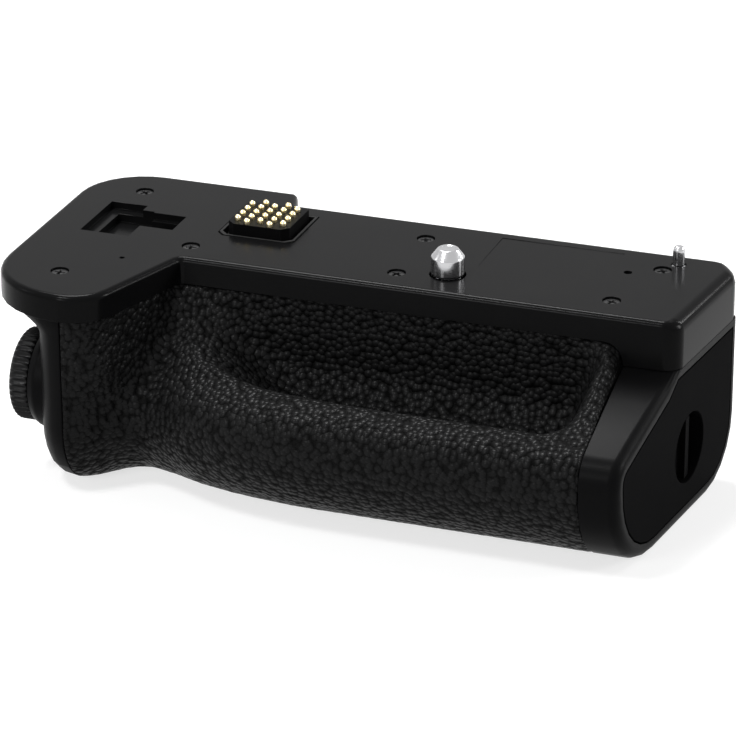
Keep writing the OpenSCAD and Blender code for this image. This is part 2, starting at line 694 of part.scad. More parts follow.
module block_shape(grow, chamfer) {
    w = block_w / 2 + grow;
    d = block_d / 2 + grow;
    translate([-block_x, block_y])
        polygon([
            [-w + chamfer, -d], [w - chamfer, -d], [w, -d + chamfer],
            [w, d], [-w, d], [-w, -d + chamfer]
        ]);
}
module connector_block() color(plastic) difference() {
    union() {
        translate([0, 0, -block_foot]) linear_extrude(block_foot + block_h) block_shape(0, block_cut);
        translate([0, 0, -block_foot])
            linear_extrude(block_foot - plate_t - seam) block_shape(groove + 1, block_cut);
    }
    for (s = contact_spots)
        along_z(s[0], s[1], pin_foot - contact_travel - 0.2, contact_r + 0.08, 10);
}
module connector_seal() color(hide) difference() {
    union() {
        translate([0, 0, -plate_t]) linear_extrude(plate_t - 1.2) block_shape(groove - 0.04, block_cut);
        translate([0, 0, -plate_t]) linear_extrude(plate_t + 0.1) block_shape(groove - lip_gap, block_cut);
    }
    translate([0, 0, -plate_t - 1]) linear_extrude(plate_t + 2) block_shape(0.04, block_cut);
    translate([0, 0, -1.2]) linear_extrude(plate_t) block_shape(groove - lip_gap - lip_w, block_cut);
}
module contact_pins() color(gold) for (s = contact_spots) {
    along_z(s[0], s[1], pin_foot, contact_r, pin_tip - 0.45 - pin_foot);
    translate([s[0], s[1], pin_tip - 0.45]) cylinder(r1 = contact_r, r2 = contact_r * 0.55, h = 0.45);
}

// Pins and screws
pin_r = 1.15;
pin_foot_r = 1.4;
pin_sink = 0.3;
pin_neck = 0.25;
pin_h = 3.7;
module locating_pin() color(steel) translate([pin_spot[0], pin_spot[1], 0]) rotate_extrude() polygon([
    [0, -plate_t - 1], [pin_foot_r + 0.5, -plate_t - 1], [pin_foot_r + 0.5, -plate_t - seam],
    [pin_foot_r, -plate_t - seam], [pin_foot_r, -pin_sink], [pin_r - pin_neck, -pin_sink],
    [pin_r - pin_neck, 0], [pin_r, 0], [pin_r, pin_h - 0.5], [pin_r - 0.4, pin_h], [0, pin_h]
]);
module small_screw() {
    along_z(0, 0, -screw_sink - screw_head_h, screw_head_r, screw_head_h);
    along_z(0, 0, -screw_sink - screw_head_h - screw_shank_h, screw_shank_r, screw_shank_h + 0.1);
}
module plate_screws() color(satin) for (s = screw_spots) translate([s[0], s[1], 0]) small_screw();
base_spots = [[-58, 0], [-22, 4], [-22, -13], [panel_right, -13]];
module base_screws() color(satin)
    for (s = base_spots) translate([s[0], s[1], base_z]) rotate([180, 0, 0]) small_screw();

// Tripod screw, turned through a pair of gears by the thumbwheel at the back
gear_r = gear_module * gear_teeth / 2;
wheel_r = gear_module * wheel_teeth / 2;
wheel_y = gear_r + wheel_r;
wheel_slot = wheel_r - 0.4;
tooth_top = 0.9;
tooth_root = 1.25;
backlash = 0.5;
flange_t = 1;
flange_r = 5;
core_r = 2.4;
axle_r = 1.5;
axle_head_r = 2.6;
axle_head_t = 0.8;
bearing_r = 3.4;
press = 0.01;

function involute_deg(r, base) = let (a = acos(min(1, base / r))) tan(a) * 180 / PI - a;
module gear_shape(teeth, turn) {
    pitch = gear_module * teeth / 2;
    base = pitch * cos(20);
    root = pitch - tooth_root * gear_module;
    tip = pitch + tooth_top * gear_module;
    half = 90 / teeth - backlash + involute_deg(pitch, base);
    flank = [for (i = [0:4]) let (r = mix(max(base, root), tip, i / 4)) [r, half - involute_deg(r, base)]];
    tooth = concat(
        [[min(base, root), -half - 0.6]], [for (f = flank) [f[0], -f[1]]],
        [for (i = [4:-1:0]) flank[i]], [[min(base, root), half + 0.6]]);
    polygon([for (k = [0:teeth - 1]) for (t = tooth)
        let (a = turn + k * 360 / teeth + t[1]) t[0] * [cos(a), sin(a)]]);
}
module knurl_shape(r, depth, ridges) {
    polygon([for (k = [0:2 * ridges - 1])
        let (a = k * 180 / ridges, q = k % 2 == 0 ? r : r - depth) q * [cos(a), sin(a)]]);
}

module tripod_screw() color(steel) rotate_extrude() polygon([
    [0, screw_foot], [core_r, screw_foot], [core_r, -plate_t - slide_gap - flange_t],
    [flange_r, -plate_t - slide_gap - flange_t], [flange_r, -plate_t - slide_gap],
    [screw_r - 0.2, -plate_t - slide_gap], [screw_r - 0.2, 0], [screw_r, 0],
    [screw_r, screw_h - 1.6], [screw_r - 1.28, screw_h], [0, screw_h]
]);
module screw_gear() color(brass) difference() {
    translate([0, 0, wheel_z]) linear_extrude(wheel_t) gear_shape(gear_teeth, 90);
    bore_z(0, 0, core_r + press);
}
module screw_bearing() color(brass) difference() {
    union() {
        along_z(0, 0, chassis_z, bearing_r, chassis_t + 0.1);
        along_z(0, 0, chassis_z + chassis_t + press, bearing_r + 0.8, 0.4);
    }
    bore_z(0, 0, core_r + run_gap);
}
module retaining_ring() color(steel) difference() {
    along_z(0, 0, ring_z, bearing_r, ring_t);
    bore_z(0, 0, core_r + press);
}
post_spots = [for (x = [-13.5, 13.5]) for (y = [-3.2, plate_back - 6.3]) [x, y]];
module chassis() color(steel) difference() {
    union() {
        block([-chassis_w, front_wall + shell + 0.2, chassis_z],
              [chassis_w, back_right - wall - 0.3, chassis_z + chassis_t]);
        for (s = post_spots) along_z(s[0], s[1], chassis_z, 1.8, -plate_t - seam - chassis_z);
    }
    bore_z(0, 0, bearing_r + press);
    bore_z(0, wheel_y, axle_r + press);
}
module thumbwheel() color(satin) difference() {
    translate([0, wheel_y, 0]) {
        translate([0, 0, wheel_z]) linear_extrude(wheel_t) gear_shape(wheel_teeth, 270 + 180 / wheel_teeth);
        along_z(0, 0, chassis_z + chassis_t + 0.1, 3, wheel_t);
    }
    bore_z(0, wheel_y, axle_r + run_gap);
}
module thumbwheel_axle() color(steel) {
    along_z(0, wheel_y, chassis_z, axle_r, wheel_z + wheel_t + 0.2 - chassis_z);
    along_z(0, wheel_y, wheel_z + wheel_t + 0.1, axle_head_r, axle_head_t);
}

// Tripod socket in the underside
bush_x = 0;
bush_y = -11.5;
bush_r = 5;
bush_h = 8;
module tripod_bush() color(steel) difference() {
    union() {
        along_z(bush_x, bush_y, base_z, bush_r, bush_h);
        along_z(bush_x, bush_y, base_z + shell + seam, bush_r + 1, 1.3);
    }
    along_z(bush_x, bush_y, base_z - 1, screw_r, bush_h + 2);
}

// Control dial with the shutter button, on the column's left face
dial_y = -18.4;
dial_z = -23.6;
hub_r = 4.5;
hub_h = 6.2;
dial_foot = 2.1;
dial_t = 3.3;
dial_rim = 0.6;
knurl_h = 0.4;
collar_sink = 2.2;
stem_r = 1.2;
key_r = 3.5;
key_top = 7.6;
switch_w = 8;
switch_depth = 4.2;
switch_x = body_left - switch_depth;
stem_gap = 0.2;
stem_end = shutter_travel + stem_gap - switch_depth;
key_foot = 4;
module left_axis() translate([-body_left, dial_y, dial_z]) rotate([0, -90, 0]) children();
module dial_collar() color(plastic) left_axis() difference() {
    union() {
        translate([0, 0, -collar_sink]) cylinder(r = collar_r, h = collar_sink + 0.01);
        cylinder(r1 = collar_r, r2 = collar_r - 0.8, h = 1.9);
        translate([0, 0, -collar_sink]) cylinder(r = hub_r, h = collar_sink + hub_h);
    }
    translate([0, 0, -collar_sink - 1]) cylinder(r = key_r + 0.2, h = collar_sink + hub_h + 2);
}
module control_dial() color(plastic) left_axis() difference() {
    union() {
        translate([0, 0, dial_foot]) linear_extrude(dial_t) knurl_shape(dial_r, knurl_h, 44);
        translate([0, 0, dial_foot + dial_t - 0.1])
            cylinder(r1 = dial_r - knurl_h - 0.1, r2 = dial_r - knurl_h - 0.6, h = dial_rim + 0.1);
    }
    translate([0, 0, -1]) cylinder(r = hub_r + run_gap, h = hub_h + 4);
}
module shutter_button() color(satin) left_axis() {
    translate([0, 0, key_foot]) cylinder(r = key_r, h = key_top - 0.4 - key_foot);
    translate([0, 0, key_top - 0.4]) cylinder(r1 = key_r, r2 = key_r - 0.5, h = 0.4);
    translate([0, 0, stem_end]) cylinder(r = stem_r, h = key_foot + 0.1 - stem_end);
}
module shutter_switch() color(satin) {
    w = switch_w / 2 - 0.05;
    block([-switch_x + 0.2, dial_y - w, dial_z - w], [-leather_left - 0.4, dial_y + w, dial_z + w]);
    along_x(-switch_x, dial_y, dial_z, 1, 0.3);
}

// Rear dial and buttons under the thumb
rear_dial_x = -56;
rear_dial_t = 4;
rear_dial_z = -12.6;
rear_dial_y = back_left + 2.1 - rear_dial_r;
rear_axle_r = 1.2;
ear_t = 1.2;
ear_low = rear_dial_z - slide_gap - ear_t;
ear_high = rear_dial_z + rear_dial_t + slide_gap;
spine_y = rear_dial_y - rear_dial_r - 0.6;
button_xs = [-59.2, -48];
button_z = -20;
switch_face = back_left - 4.9;
push_switch_w = 6;
button_rise = 1;
module rear_dial() color(plastic) difference() {
    translate([rear_dial_x, rear_dial_y, rear_dial_z])
        linear_extrude(rear_dial_t) knurl_shape(rear_dial_r, knurl_h, 36);
    bore_z(rear_dial_x, rear_dial_y, rear_axle_r + run_gap);
}
module rear_dial_axle() color(steel)
    along_z(rear_dial_x, rear_dial_y, ear_low, rear_axle_r, ear_high + ear_t - ear_low);
module dial_bracket() color(steel) difference() {
    union() {
        block([button_xs[0] - 4.2, spine_y - ear_t, button_z - 4],
              [button_xs[1] + 3.4, spine_y, ear_high + ear_t]);
        for (z = [ear_low, ear_high])
            block([rear_dial_x - 4, spine_y - ear_t, z],
                  [rear_dial_x + 4, back_left - wall - seam, z + ear_t]);
    }
    bore_z(rear_dial_x, rear_dial_y, rear_axle_r + press);
}
module push_button(x) {
    stem_y = switch_face + button_travel + 0.1;
    along_y(x, back_left - wall - button_rise, button_z, button_r, wall + 2 * button_rise);
    along_y(x, back_left + button_rise, button_z, button_r - 0.4, 0.4);
    along_y(x, back_left - wall - 1.4, button_z, button_r + 0.8, 1.1);
    along_y(x, stem_y, button_z, 1, back_left - wall - 1.3 - stem_y);
}
module focus_button() color(satin) push_button(button_xs[0]);
module lock_button() color(satin) push_button(button_xs[1]);
module button_switches() color(satin) for (x = button_xs)
    block([x - push_switch_w / 2, spine_y + 0.02, button_z - push_switch_w / 2],
          [x + push_switch_w / 2, switch_face, button_z + push_switch_w / 2]);

// Circuit board under the connector, with a ribbon to the battery contacts
board_t = 1.2;
board_z = -block_foot - 0.02 - board_t;
board_side = 10;
board_ahead = 14;
board_behind = 7;
board_gap = 1.5;
board_left = -block_x - board_side;
board_front = block_y - board_ahead;
board_back = block_y + board_behind;
ribbon_t = 0.3;
ribbon_w = 6;
ribbon_lap = 2.5;
ribbon_gap = 1.5;
ribbon_x = min(bay_left - bay_t, -chassis_w) - ribbon_gap;
board_right = ribbon_x - board_gap;
ribbon_left = board_right - ribbon_lap;
module main_board() color(board_green)
    block([board_left, board_front, board_z], [board_right, board_back, board_z + board_t]);
module ribbon_shape() polygon([
    [ribbon_left, board_z - 0.02], [ribbon_left, board_z - ribbon_t],
    [ribbon_x - ribbon_t, board_z - ribbon_t],
    [ribbon_x - ribbon_t, terminal_z], [bay_left - bay_t - 0.02, terminal_z],
    [bay_left - bay_t - 0.02, terminal_z + ribbon_t], [ribbon_x, terminal_z + ribbon_t],
    [ribbon_x, board_z - 0.02]
]);
module flex_cable() color(brass)
    translate([0, terminal_y + ribbon_w / 2, 0]) rotate([90, 0, 0]) linear_extrude(ribbon_w) ribbon_shape();

top_case();
front_case();
bottom_case();
rear_cover();
shutter_housing();
end_frame();
front_leather();
battery_bay();
bay_contacts();
battery_tray();
tray_cap();
tray_seal();
latch_knob();
latch_tongue();
connector_block();
connector_seal();
contact_pins();
locating_pin();
plate_screws();
base_screws();
tripod_screw();
screw_gear();
screw_bearing();
retaining_ring();
chassis();
thumbwheel();
thumbwheel_axle();
tripod_bush();
dial_collar();
control_dial();
shutter_button();
shutter_switch();
rear_dial();
rear_dial_axle();
dial_bracket();
focus_button();
lock_button();
button_switches();
main_board();
flex_cable();
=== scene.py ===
import json
import math

import bmesh
import bpy
import numpy as np
from mathutils import Matrix


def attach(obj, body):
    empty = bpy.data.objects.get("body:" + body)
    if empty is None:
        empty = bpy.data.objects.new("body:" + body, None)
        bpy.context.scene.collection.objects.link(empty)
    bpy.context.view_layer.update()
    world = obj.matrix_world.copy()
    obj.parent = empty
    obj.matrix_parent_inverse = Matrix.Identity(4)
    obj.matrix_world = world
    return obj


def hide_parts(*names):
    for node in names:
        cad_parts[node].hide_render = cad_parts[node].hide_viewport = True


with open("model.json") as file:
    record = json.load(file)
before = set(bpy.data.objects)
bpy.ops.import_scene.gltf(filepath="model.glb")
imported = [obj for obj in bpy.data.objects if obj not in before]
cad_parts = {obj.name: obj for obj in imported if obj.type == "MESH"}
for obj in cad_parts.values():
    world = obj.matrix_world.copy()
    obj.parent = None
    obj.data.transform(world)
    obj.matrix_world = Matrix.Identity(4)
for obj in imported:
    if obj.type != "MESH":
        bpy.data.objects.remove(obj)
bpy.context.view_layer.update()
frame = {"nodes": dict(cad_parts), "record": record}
mm = 0.001
record = frame["record"]
nodeBody = {n: b for b, names in record["behaviour"]["bodies"].items() for n in names}
jointPlace = {j["name"]: np.array(j["pos_m"]) / mm for j in record["behaviour"]["joints"] if "pos_m" in j}
print("frame loaded,", len(frame["nodes"]), "nodes")


# Finishes

def shaderTree(name):
    mat = bpy.data.materials.new(name)
    mat.use_nodes = True
    tree = mat.node_tree
    tree.nodes.clear()
    out = tree.nodes.new("ShaderNodeOutputMaterial")
    bsdf = tree.nodes.new("ShaderNodeBsdfPrincipled")
    tree.links.new(bsdf.outputs["BSDF"], out.inputs["Surface"])
    return mat, tree, bsdf


# Noise in the object's own coordinates, stretched along its axes
def addNoise(tree, scale, detail, stretch=(1, 1, 1)):
    coord = tree.nodes.new("ShaderNodeTexCoord")
    mapping = tree.nodes.new("ShaderNodeMapping")
    mapping.inputs["Scale"].default_value = stretch
    noise = tree.nodes.new("ShaderNodeTexNoise")
    noise.inputs["Scale"].default_value = scale
    noise.inputs["Detail"].default_value = detail
    tree.links.new(coord.outputs["Object"], mapping.inputs["Vector"])
    tree.links.new(mapping.outputs["Vector"], noise.inputs["Vector"])
    return noise.outputs["Fac"]


def addRange(tree, value, low, high, fromLow=0.3, fromHigh=0.7):    # most noise lies from 0.3 to 0.7
    node = tree.nodes.new("ShaderNodeMapRange")
    node.inputs["From Min"].default_value = fromLow
    node.inputs["From Max"].default_value = fromHigh
    node.inputs["To Min"].default_value = low
    node.inputs["To Max"].default_value = high
    tree.links.new(value, node.inputs["Value"])
    return node.outputs["Result"]


def addMix(tree, value, colorA, colorB):
    node = tree.nodes.new("ShaderNodeMix")
    node.data_type = "RGBA"
    node.inputs["A"].default_value = (*colorA, 1)
    node.inputs["B"].default_value = (*colorB, 1)
    tree.links.new(value, node.inputs["Factor"])
    return node.outputs["Result"]


def addBump(tree, height, depth, strength, invert=False):
    node = tree.nodes.new("ShaderNodeBump")
    node.invert = invert
    node.inputs["Strength"].default_value = strength
    node.inputs["Distance"].default_value = depth
    tree.links.new(height, node.inputs["Height"])
    return node


# Cloudy tone and roughness over a fine grain, all from noise in the object's own coordinates
def grainFinish(name, look):
    mat, tree, bsdf = shaderTree(name)
    stretch, spread = look.get("stretch", (1, 1, 1)), 0.05
    cloud = addNoise(tree, look.get("cloud", 90), 4, stretch)
    fine = addNoise(tree, look.get("grain", 5200), 2, stretch)
    rough = addRange(tree, fine, look["rough"] - spread, look["rough"] + spread)
    bump = addBump(tree, fine, look.get("depth", 0.00002), look.get("bump", 0.4))
    tree.links.new(addMix(tree, cloud, look["color"], look["tint"]), bsdf.inputs["Base Color"])
    tree.links.new(rough, bsdf.inputs["Roughness"])
    tree.links.new(bump.outputs["Normal"], bsdf.inputs["Normal"])
    bsdf.inputs["Metallic"].default_value = look.get("metal", 0)
    bsdf.inputs["Specular IOR Level"].default_value = look.get("specular", 0.5)
    return mat


looks = {
    "plateSatin": {"color": (0.003, 0.003, 0.0032), "tint": (0.0045, 0.0045, 0.0047), "rough": 0.19,
                   "specular": 0.034, "grain": 6500, "depth": 0.00003, "bump": 0.2},
    "endSatin": {"color": (0.0026, 0.0026, 0.0028), "tint": (0.004, 0.004, 0.0042), "rough": 0.36,
                 "specular": 0.026, "grain": 6500, "depth": 0.00003, "bump": 0.35},
    "bodyMatt": {"color": (0.0026, 0.0026, 0.0028), "tint": (0.004, 0.004, 0.0042), "rough": 0.38,
                 "specular": 0.02, "grain": 5600, "depth": 0.00004, "bump": 0.4},
    "capMatt": {"color": (0.003, 0.003, 0.0032), "tint": (0.0045, 0.0045, 0.0047), "rough": 0.45,
                "specular": 0.002, "grain": 6000, "depth": 0.00003, "bump": 0.35},
    "dialBlack": {"color": (0.005, 0.005, 0.0052), "tint": (0.0075, 0.0075, 0.0077), "rough": 0.34,
                  "specular": 0.1, "grain": 4800},
    "rubberBlack": {"color": (0.006, 0.006, 0.006), "tint": (0.009, 0.009, 0.009), "rough": 0.6,
                    "specular": 0.1, "grain": 3800, "depth": 0.00005},
    "darkScrew": {"color": (0.012, 0.012, 0.0125), "tint": (0.02, 0.02, 0.0205), "rough": 0.4, "metal": 0.6,
                  "specular": 0.2},
    "polishedSteel": {"color": (0.42, 0.42, 0.43), "tint": (0.52, 0.52, 0.53), "rough": 0.2, "metal": 1,
                      "stretch": (1, 1, 14), "grain": 900, "depth": 0.00001, "bump": 0.15},
    "pressedSteel": {"color": (0.42, 0.42, 0.43), "tint": (0.52, 0.52, 0.53), "rough": 0.36, "metal": 1,
                     "stretch": (1, 9, 1), "grain": 1600},
    "goldPlate": {"color": (0.80, 0.68, 0.40), "tint": (0.90, 0.80, 0.52), "rough": 0.22, "metal": 1,
                  "grain": 3000},
    "machinedBrass": {"color": (0.60, 0.45, 0.18), "tint": (0.70, 0.55, 0.26), "rough": 0.32, "metal": 1},
    "boardGreen": {"color": (0.012, 0.07, 0.035), "tint": (0.02, 0.10, 0.05), "rough": 0.35, "cloud": 600},
    "ribbonFilm": {"color": (0.45, 0.22, 0.04), "tint": (0.52, 0.28, 0.06), "rough": 0.3,
                   "stretch": (1, 30, 1)},
}
finishes = {name: grainFinish(name, look) for name, look in looks.items()}

# The groove colour is painted shade: the grooves between pebbles are coloured darker than the pebble tops
leatherLook = {"top": (0.008, 0.008, 0.0082), "groove": (0.001, 0.001, 0.001), "roughTop": 0.3,
               "roughGroove": 0.6, "specular": 0.055, "cell": 860, "scatter": 0.85, "cellDepth": 0.0006,
               "grooveFrom": 0.15, "grooveTo": 0.5, "pore": 4200, "poreDepth": 0.00003, "poreBump": 0.4}


# Round pebbles as the squared distance to the nearest of scattered points: the bump domes each cell, and the
# grooves between cells are rougher and painted darker as shade; fine pores lie over them
def leatherFinish(look):
    mat, tree, bsdf = shaderTree("pebbledLeather")
    coord = tree.nodes.new("ShaderNodeTexCoord")
    cells = tree.nodes.new("ShaderNodeTexVoronoi")
    cells.inputs["Scale"].default_value = look["cell"]
    cells.inputs["Randomness"].default_value = look["scatter"]
    tree.links.new(coord.outputs["Object"], cells.inputs["Vector"])
    square = tree.nodes.new("ShaderNodeMath")
    square.operation = "MULTIPLY"
    tree.links.new(cells.outputs["Distance"], square.inputs[0])
    tree.links.new(cells.outputs["Distance"], square.inputs[1])
    dome = square.outputs["Value"]
    groove = addRange(tree, dome, 0, 1, look["grooveFrom"], look["grooveTo"])
    rough = addRange(tree, groove, look["roughTop"], look["roughGroove"], 0, 1)
    pebbles = addBump(tree, dome, look["cellDepth"], 1, True)
    pores = addBump(tree, addNoise(tree, look["pore"], 3), look["poreDepth"], look["poreBump"])
    tree.links.new(pebbles.outputs["Normal"], pores.inputs["Normal"])
    # Painted shade: the groove mask darkens the base colour between the pebbles
    tree.links.new(addMix(tree, groove, look["top"], look["groove"]), bsdf.inputs["Base Color"])
    tree.links.new(rough, bsdf.inputs["Roughness"])
    tree.links.new(pores.outputs["Normal"], bsdf.inputs["Normal"])
    bsdf.inputs["Specular IOR Level"].default_value = look["specular"]
    return mat


finishes["pebbledLeather"] = leatherFinish(leatherLook)
print("finishes:", len(finishes))


# Mesh tools

weldGap = 0.002 * mm


# Quads of a grid of rows by cols points, closed round either way
def gridFaces(rows, cols, loopRows=False, loopCols=False):
    i = np.arange(rows if loopRows else rows - 1)[:, None]
    j = np.arange(cols if loopCols else cols - 1)[None, :]
    a, b = i * cols + j, i * cols + (j + 1) % cols
    c, d = ((i + 1) % rows) * cols + (j + 1) % cols, ((i + 1) % rows) * cols + j
    return np.stack([a, b, c, d], axis=-1).reshape(-1, 4)


# Smooth faces of a closed mesh, with an edge sharp where its two faces turn by the angle or more
def markSharp(mesh, angle):
    edgeOf, corners = np.zeros(len(mesh.loops), np.int32), np.zeros(len(mesh.polygons), np.int32)
    normals = np.zeros(3 * len(mesh.polygons), np.float32)
    mesh.loops.foreach_get("edge_index", edgeOf)
    mesh.polygons.foreach_get("loop_total", corners)
    mesh.polygon_normals.foreach_get("vector", normals)
    pairs = np.repeat(normals.reshape(-1, 3), corners, axis=0)[np.argsort(edgeOf)].reshape(-1, 2, 3)
    turn = (pairs[:, 0] * pairs[:, 1]).sum(-1)    # cosine of the angle between the two normals
    mesh.shade_smooth()
    mesh.edges.foreach_set("use_edge_sharp", turn <= math.cos(math.radians(angle)))


# A mesh that stands for the CAD node, on the node's body, with the CAD node hidden
def finishPiece(name, mesh, node, finish, sharp):
    markSharp(mesh, sharp)
    mesh.materials.clear()
    mesh.materials.append(finishes[finish])
    obj = bpy.data.objects.new(name, mesh)
    bpy.context.scene.collection.objects.link(obj)
    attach(obj, nodeBody[node])
    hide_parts(node)
    return obj


# Points in millimetres and their faces as a piece; poles and seams are merged and normals turned outward
def addPiece(name, points, faces, node, finish, sharp=40, weld=True):
    mesh = bpy.data.meshes.new(name)
    mesh.from_pydata(np.asarray(points, float).reshape(-1, 3) * mm, [], [list(map(int, f)) for f in faces])
    if weld:
        bm = bmesh.new()
        bm.from_mesh(mesh)
        bmesh.ops.remove_doubles(bm, verts=bm.verts, dist=weldGap)
        bmesh.ops.dissolve_degenerate(bm, edges=bm.edges, dist=weldGap / 2)
        bmesh.ops.recalc_face_normals(bm, faces=bm.faces)
        bm.to_mesh(mesh)
        bm.free()
    return finishPiece(name, mesh, node, finish, sharp)


softEdge = {"sharp": 32, "flat": 0.3, "segments": 2}    # angles in degrees


# A welded copy of a CAD solid with soft normals and a fine rounding of its sharp edges
def softCopy(node, finish, bevel):
    mesh = frame["nodes"][node].data.copy()
    bm = bmesh.new()
    bm.from_mesh(mesh)
    bmesh.ops.remove_doubles(bm, verts=bm.verts, dist=weldGap)
    bmesh.ops.dissolve_limit(bm, angle_limit=math.radians(softEdge["flat"]), verts=bm.verts, edges=bm.edges)
    bm.to_mesh(mesh)
    bm.free()
    words = node.split("_")
    name = words[0] + "".join(w.capitalize() for w in words[1:])
    name += "Shell" if name == node else ""    # the node keeps its own name
    obj = finishPiece(name, mesh, node, finish, softEdge["sharp"])
    edge = obj.modifiers.new("edge", "BEVEL")
    edge.width = bevel * mm
    edge.segments = softEdge["segments"]
    edge.limit_method = "ANGLE"
    edge.angle_limit = math.radians(softEdge["sharp"])
    normals = obj.modifiers.new("normals", "WEIGHTED_NORMAL")
    normals.keep_sharp = True


# Points turned from the Z axis to another one, then moved to their place
def aim(points, place, turn=None):
    spin = np.array(turn if turn is not None else Matrix.Identity(3))
    return points @ spin.T + np.asarray(place, float)


towardLeft = Matrix.Rotation(math.radians(-90), 3, "Y")    # +Z of the profile to -X
towardBack = Matrix.Rotation(math.radians(-90), 3, "X")    # +Z of the profile to +Y
upsideDown = Matrix.Rotation(math.pi, 3, "X")


# Profile of (radius, height) points carried round an axis
def revolve(profile, segments, place, turn=None):
    angle = np.linspace(0, 2 * np.pi, segments, endpoint=False)[:, None]
    r, h = np.asarray(profile, float).T
    points = np.stack([r * np.cos(angle), r * np.sin(angle), h + 0 * angle], axis=-1)
    return aim(points, place, turn), gridFaces(segments, len(profile), loopRows=True)


# Closed profile carried round an axis, its radius cut by a rounded wave where the weight is 1
def knurled(profile, weight, ridges, depth, place, turn=None, perRidge=8):
    r, h = np.asarray(profile, float).T
    angle = np.linspace(0, 2 * np.pi, ridges * perRidge, endpoint=False)[:, None]
    wave = (0.5 - 0.5 * np.cos(angle * ridges)) ** 0.8
    radius = r - depth * wave * np.asarray(weight, float)
    points = np.stack([radius * np.cos(angle), radius * np.sin(angle), h + 0 * angle], axis=-1)
    return aim(points, place, turn), gridFaces(len(angle), len(r), True, True)


# Profile of (radius, height, rounding) corners, each rounded one replaced by a quadratic curve
def roundedProfile(corners, steps=5):
    path = [corners[0][:2]]
    s = np.linspace(0, 1, steps + 1)[:, None]
    for before, here, after in zip(corners, corners[1:], corners[2:]):
        corner, r = np.array(here[:2], float), here[2] if len(here) > 2 else 0
        if not r:
            path.append(tuple(corner))
            continue
        u, v = np.array(before[:2]) - corner, np.array(after[:2]) - corner
        reach = min(r, 0.49 * np.linalg.norm(u), 0.49 * np.linalg.norm(v))    # under half of each side
        p, q = corner + u / np.linalg.norm(u) * reach, corner + v / np.linalg.norm(v) * reach
        path += [tuple(x) for x in (1 - s) ** 2 * p + 2 * s * (1 - s) * corner + s * s * q]
    return path + [corners[-1][:2]]


# Shallow bowl as a parabola: points from the axis out to a radius, deepest on the axis
def dished(top, depth, bowlR, outR, count):
    return [(q, top - depth * (1 - (q / bowlR) ** 2)) for q in np.linspace(0, outR, count)]


# Several shapes as one list of points and one of faces
def joined(shapes):
    points = [p.reshape(-1, 3) for p, f in shapes]
    starts = np.cumsum([0] + [len(p) for p in points[:-1]])
    return np.concatenate(points), np.concatenate([f + start for (p, f), start in zip(shapes, starts)])


# Leather skin

body = {"plateLeft": 81.3, "plateFront": 9.1, "bulgeFront": 34.2, "bulgeCorner": 57.8, "bulgeRoot": 49.8,
        "bulgeR": 8.0, "rootR": 1.2, "lip": 0.5, "skirtH": 5.2, "skirtEndH": 9.4, "seam": 0.06, "seamX": 36.7,
        "skirtRun": 3.7, "baseH": 41.4, "nose": 36.0, "noseTop": 18.0, "waist": 9.5, "keelR": 18.5,
        "keelLeftR": 13.5, "keelRun": 14, "overhang": 9.3, "bandW": 8.0, "rim": 27.3, "rimH": 15.2,
        "backY": 21.5}

# How far the trough is open, from its start after the valley to its right end
trough = {"floorH": 24.0, "start": 1.5, "run": 26, "right": 34.5, "rightRun": 8, "wallIn": 0.4,
          "floorRun": 3.3, "floorTilt": 0.6}

# Keys along X, as offsets from the valley: share of the waist, nose edge's drop, rim's way forward
valleyKeys = {"waist": [(-3.4, 1), (2, 0.9), (11, 0.42), (20.5, 0.13), (33, 0)],
              "drop": [(-8, 4), (0, 4.8), (14, 1.4), (32, 0)],
              "rim": [(-7, 3.7), (-4, -2.8), (-1.5, -7.6), (1, -9.5), (4.3, -8.3), (16.6, -3.4), (32, -0.7),
                      (49, 0)]}

# Outside the trough the wall slopes to the rim: shares of the way, and the wall's blur along X
slope = {"drop": 3.4, "high": 0.25, "low": 0.55, "blur": (-3, -1.5, 0, 1.5, 3)}

# For each of the five bends of a section: radius, share of the sides, points on the arc and before it
bends = {"radius": [9, 6, 3.4, 5.4, None], "share": [0.45, 0.45, 0.45, 0.42, 0.8],
         "arc": [30, 26, 18, 24, 66], "straight": [26, 20, 24, 24, 10], "keelEnd": 6 / 7}

bulgeTurn = math.atan2(body["bulgeFront"] - body["plateFront"], body["bulgeCorner"] - body["bulgeRoot"])
frontWall = -(body["plateFront"] - body["lip"])
columnFront = -(body["bulgeFront"] - body["lip"])
columnR = body["bulgeR"] - body["lip"]
columnX = -body["bulgeCorner"] - body["bulgeR"] * math.tan(bulgeTurn / 2)
columnY = -body["bulgeFront"] + body["bulgeR"]
sideX = columnX + columnR * math.sin(bulgeTurn)
sideY = columnY - columnR * math.cos(bulgeTurn)
valleyX = sideX + (frontWall - sideY) / math.tan(bulgeTurn)
valleyR = body["rootR"] + body["lip"]
valleyReach = valleyR * math.tan(bulgeTurn / 2)
leatherLeft = -(body["plateLeft"] - body["overhang"] - body["bandW"])
leatherRight = body["seamX"] - body["seam"]


# Cubic step from 0 to 1
def smoothStep(t):
    c = np.clip(t, 0, 1)
    return c * c * (3 - 2 * c)


def mix(a, b, t):
    return a + (b - a) * t


# Cubic pieces through (place, value) keys, each key's slope taken from its neighbours
def keyCurve(x, keys):
    k = np.asarray(keys, float)
    rate = np.zeros(len(k))
    rate[1:-1] = (k[2:, 1] - k[:-2, 1]) / (k[2:, 0] - k[:-2, 0])
    i = np.clip(np.searchsorted(k[:, 0], x) - 1, 0, len(k) - 2)
    w = k[i + 1, 0] - k[i, 0]
    t = np.clip((x - k[i, 0]) / w, 0, 1)
    t2, t3 = t * t, t * t * t
    return ((2 * t3 - 3 * t2 + 1) * k[i, 1] + (t3 - 2 * t2 + t) * rate[i] * w
            + (3 * t2 - 2 * t3) * k[i + 1, 1] + (t3 - t2) * rate[i + 1] * w)


